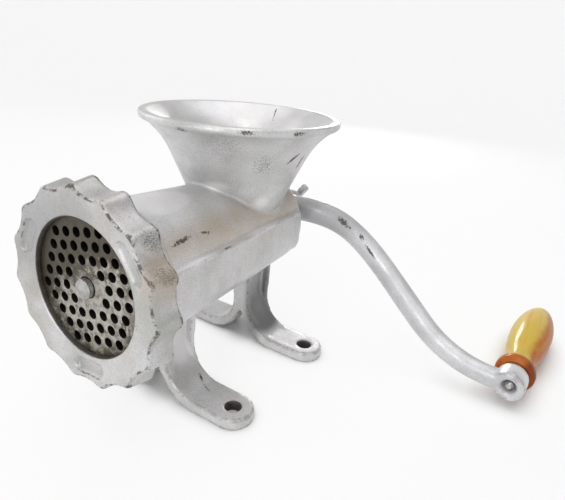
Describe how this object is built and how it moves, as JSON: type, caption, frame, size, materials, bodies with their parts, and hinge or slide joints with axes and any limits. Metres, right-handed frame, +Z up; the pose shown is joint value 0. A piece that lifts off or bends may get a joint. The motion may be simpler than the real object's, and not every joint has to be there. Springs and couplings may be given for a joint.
{
  "type": "hand crank meat grinder",
  "caption": "Bench-mounted hand crank meat grinder with flared hopper, feed worm, cross knife, drilled plate under a fluted screw ring, and an S-shaped crank with a turning wooden grip",
  "frame": {"origin": "middle of the four foot holes, on the plane of the feet's undersides", "axes": "+Z up; the barrel's axis lies along Y with the plate towards -Y and the crank towards +Y; the crank rests towards +X"},
  "size_m": [0.2798, 0.3253, 0.1785],
  "materials": {
    "tinned_casting": "satin tinned casting",
    "plate_steel": "worn ground steel",
    "bright_steel": "turned steel",
    "bush_bronze": "plain bronze",
    "collar_varnish": "gloss brown varnish",
    "grip_wood": "gloss clear varnish"
  },
  "bodies": {
    "casting": {"body_casting": "tinned_casting", "plate_key_pin": "bright_steel", "rear_bush": "bush_bronze"},
    "plate": {"cutting_plate": "plate_steel"},
    "ring": {"ring_nut": "tinned_casting"},
    "drive": {"cross_knife": "plate_steel", "feed_worm": "tinned_casting", "worm_stud": "bright_steel", "worm_pin": "bright_steel", "drive_shaft": "bright_steel", "thrust_washer": "bright_steel", "hub_washer": "bright_steel", "crank_arm": "tinned_casting", "crank_washer": "bright_steel", "thumb_screw": "tinned_casting", "grip_spindle": "bright_steel", "boss_washer": "bright_steel"},
    "grip": {"grip_collar": "collar_varnish", "wooden_grip": "grip_wood"}
  },
  "joints": [
    {"name": "crank_turn", "type": "hinge", "parent": "casting", "child": "drive", "pos_m": [0, 0.0783, 0.097], "axis": [0, -1, 0], "continuous": true},
    {"name": "grip_spin", "type": "hinge", "parent": "drive", "child": "grip", "pos_m": [0.19426, 0.0783, 0.01828], "axis": [0.0453, 0.9988, -0.0183], "continuous": true},
    {"name": "plate_slide", "type": "slide", "parent": "casting", "child": "plate", "axis": [0, -1, 0], "range_m": [0, 0.0065]},
    {"name": "ring_turn", "type": "hinge", "parent": "plate", "child": "ring", "pos_m": [0, -0.1075, 0.097], "axis": [0, -1, 0], "range_deg": [0, 720]}
  ],
  "couplings": [
    {"joint": "plate_slide", "follows": "ring_turn", "m_per_rad": 0.00047746}
  ]
}
